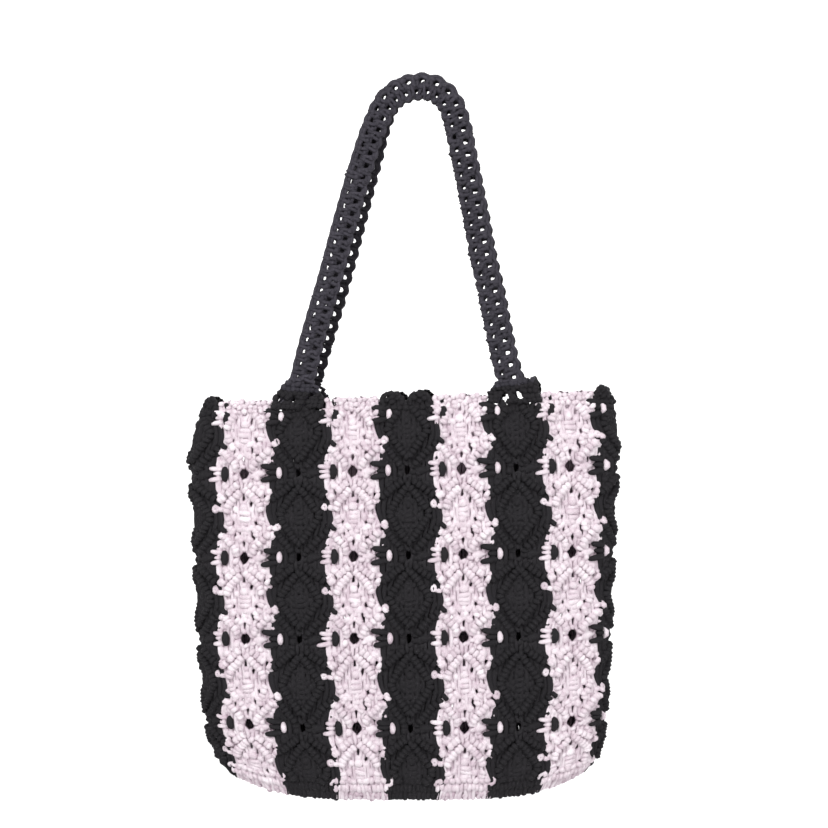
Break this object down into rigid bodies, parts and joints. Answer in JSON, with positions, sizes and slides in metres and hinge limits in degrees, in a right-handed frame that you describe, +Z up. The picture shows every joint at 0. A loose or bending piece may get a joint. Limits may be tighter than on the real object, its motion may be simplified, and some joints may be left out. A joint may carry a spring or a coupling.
{
  "type": "macrame tote bag",
  "caption": "Open-topped tote bag of knotted cord in upright black and white stripes of raised diamonds, with long flat knotted handles, hanging from its handles.",
  "frame": {"origin": "the point where the bag is held, under the top of the arch of its two handles and midway between them", "axes": "+X to the right seen from the front, +Y from the front of the bag to its back, +Z up, the way it hangs"},
  "size_m": [0.3666, 0.0692, 0.6248],
  "materials": {
    "white_cord": "soft matt braided cord, off-white with a faint pink cast",
    "black_cord": "soft braided cord, black with a low sheen"
  },
  "bodies": {
    "root": {"front_white_strip_1": "white_cord", "front_black_strip_2": "black_cord", "front_white_strip_3": "white_cord", "front_black_strip_4": "black_cord", "front_white_strip_5": "white_cord", "front_black_strip_6": "black_cord", "front_white_strip_7": "white_cord", "side_strip_right": "black_cord", "back_white_strip_7": "white_cord", "back_black_strip_6": "black_cord", "back_white_strip_5": "white_cord", "back_black_strip_4": "black_cord", "back_white_strip_3": "white_cord", "back_black_strip_2": "black_cord", "back_white_strip_1": "white_cord", "side_strip_left": "black_cord", "base": "black_cord", "front_handle": "black_cord", "back_handle": "black_cord"}
  },
  "joints": []
}
